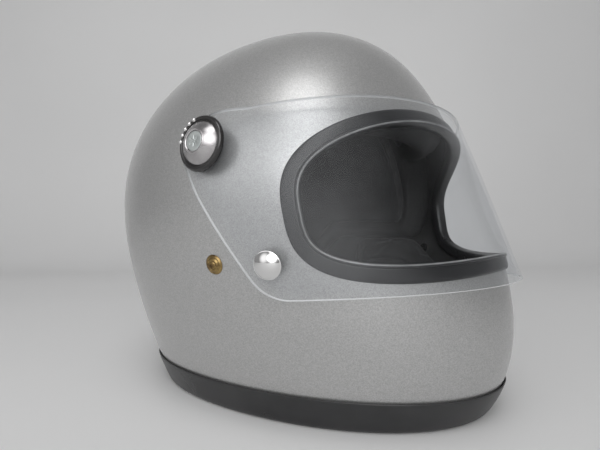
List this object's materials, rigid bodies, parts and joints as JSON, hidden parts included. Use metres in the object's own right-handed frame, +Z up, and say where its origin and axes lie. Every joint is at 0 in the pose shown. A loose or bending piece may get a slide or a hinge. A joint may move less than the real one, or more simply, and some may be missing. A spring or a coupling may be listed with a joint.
{
  "type": "full-face racing helmet",
  "caption": "Full-face racing helmet with a clear flip-up visor on side pivots, rubber trims, padded lining and a double-ring chin strap.",
  "frame": {"origin": "centre of the bounding box at the bottom face of the base trim", "axes": "+X forward through the eye port, +Y to the wearer's left, +Z up through the crown"},
  "size_m": [0.3056, 0.2626, 0.26],
  "materials": {
    "silver_paint": "silver metallic paint under gloss clear coat",
    "foam": "black coated foam, matte",
    "rubber": "satin black rubber",
    "fabric": "black brushed fabric",
    "clear_visor": "clear polished plastic",
    "webbing": "black woven webbing",
    "steel": "zinc-plated steel",
    "chrome": "polished chrome",
    "satin_metal": "satin metal",
    "black_plastic": "gloss black plastic",
    "brass": "aged brass"
  },
  "bodies": {
    "helmet": {"outer_shell": "silver_paint", "impact_liner": "foam", "chin_bar_liner": "foam", "eyeport_gasket": "rubber", "base_trim": "rubber", "comfort_liner": "fabric", "brow_pad": "fabric", "cheek_pad_left": "fabric", "cheek_pad_right": "fabric", "neck_roll": "fabric", "pivot_pin_left": "steel", "pivot_pin_right": "steel", "pivot_nut_left": "steel", "pivot_nut_right": "steel", "pivot_washer_left": "black_plastic", "pivot_washer_right": "black_plastic", "snap_stud_left": "chrome", "snap_stud_right": "chrome", "strap_rivet_left": "brass", "strap_rivet_right": "brass", "strap_anchor_left": "steel", "strap_anchor_right": "steel", "chin_strap_long": "webbing", "chin_strap_short": "webbing", "strap_end_snap": "chrome"},
    "visor_assembly": {"visor": "clear_visor", "knob_ring_left": "black_plastic", "knob_ring_right": "black_plastic", "ring_rivets_left": "chrome", "ring_rivets_right": "chrome", "knob_cap_left": "chrome", "knob_cap_right": "chrome", "knob_screw_left": "satin_metal", "knob_screw_right": "satin_metal", "snap_cap_left": "chrome", "snap_cap_right": "chrome"},
    "upper_ring": {"d_ring_upper": "steel"},
    "lower_ring": {"d_ring_lower": "steel"}
  },
  "joints": [
    {"name": "visor_hinge", "type": "hinge", "parent": "helmet", "child": "visor_assembly", "pos_m": [0.02395, 0, 0.158], "axis": [0, -1, 0], "range_deg": [0, 40]},
    {"name": "upper_ring_hinge", "type": "hinge", "parent": "helmet", "child": "upper_ring", "pos_m": [0.01181, -0.04448, 0.00705], "axis": [0.9887, 0.1497, 0], "range_deg": [-7, 60]},
    {"name": "lower_ring_hinge", "type": "hinge", "parent": "helmet", "child": "lower_ring", "pos_m": [0.01181, -0.04448, 0.00365], "axis": [0.9887, 0.1497, 0], "range_deg": [-7, 5]}
  ]
}
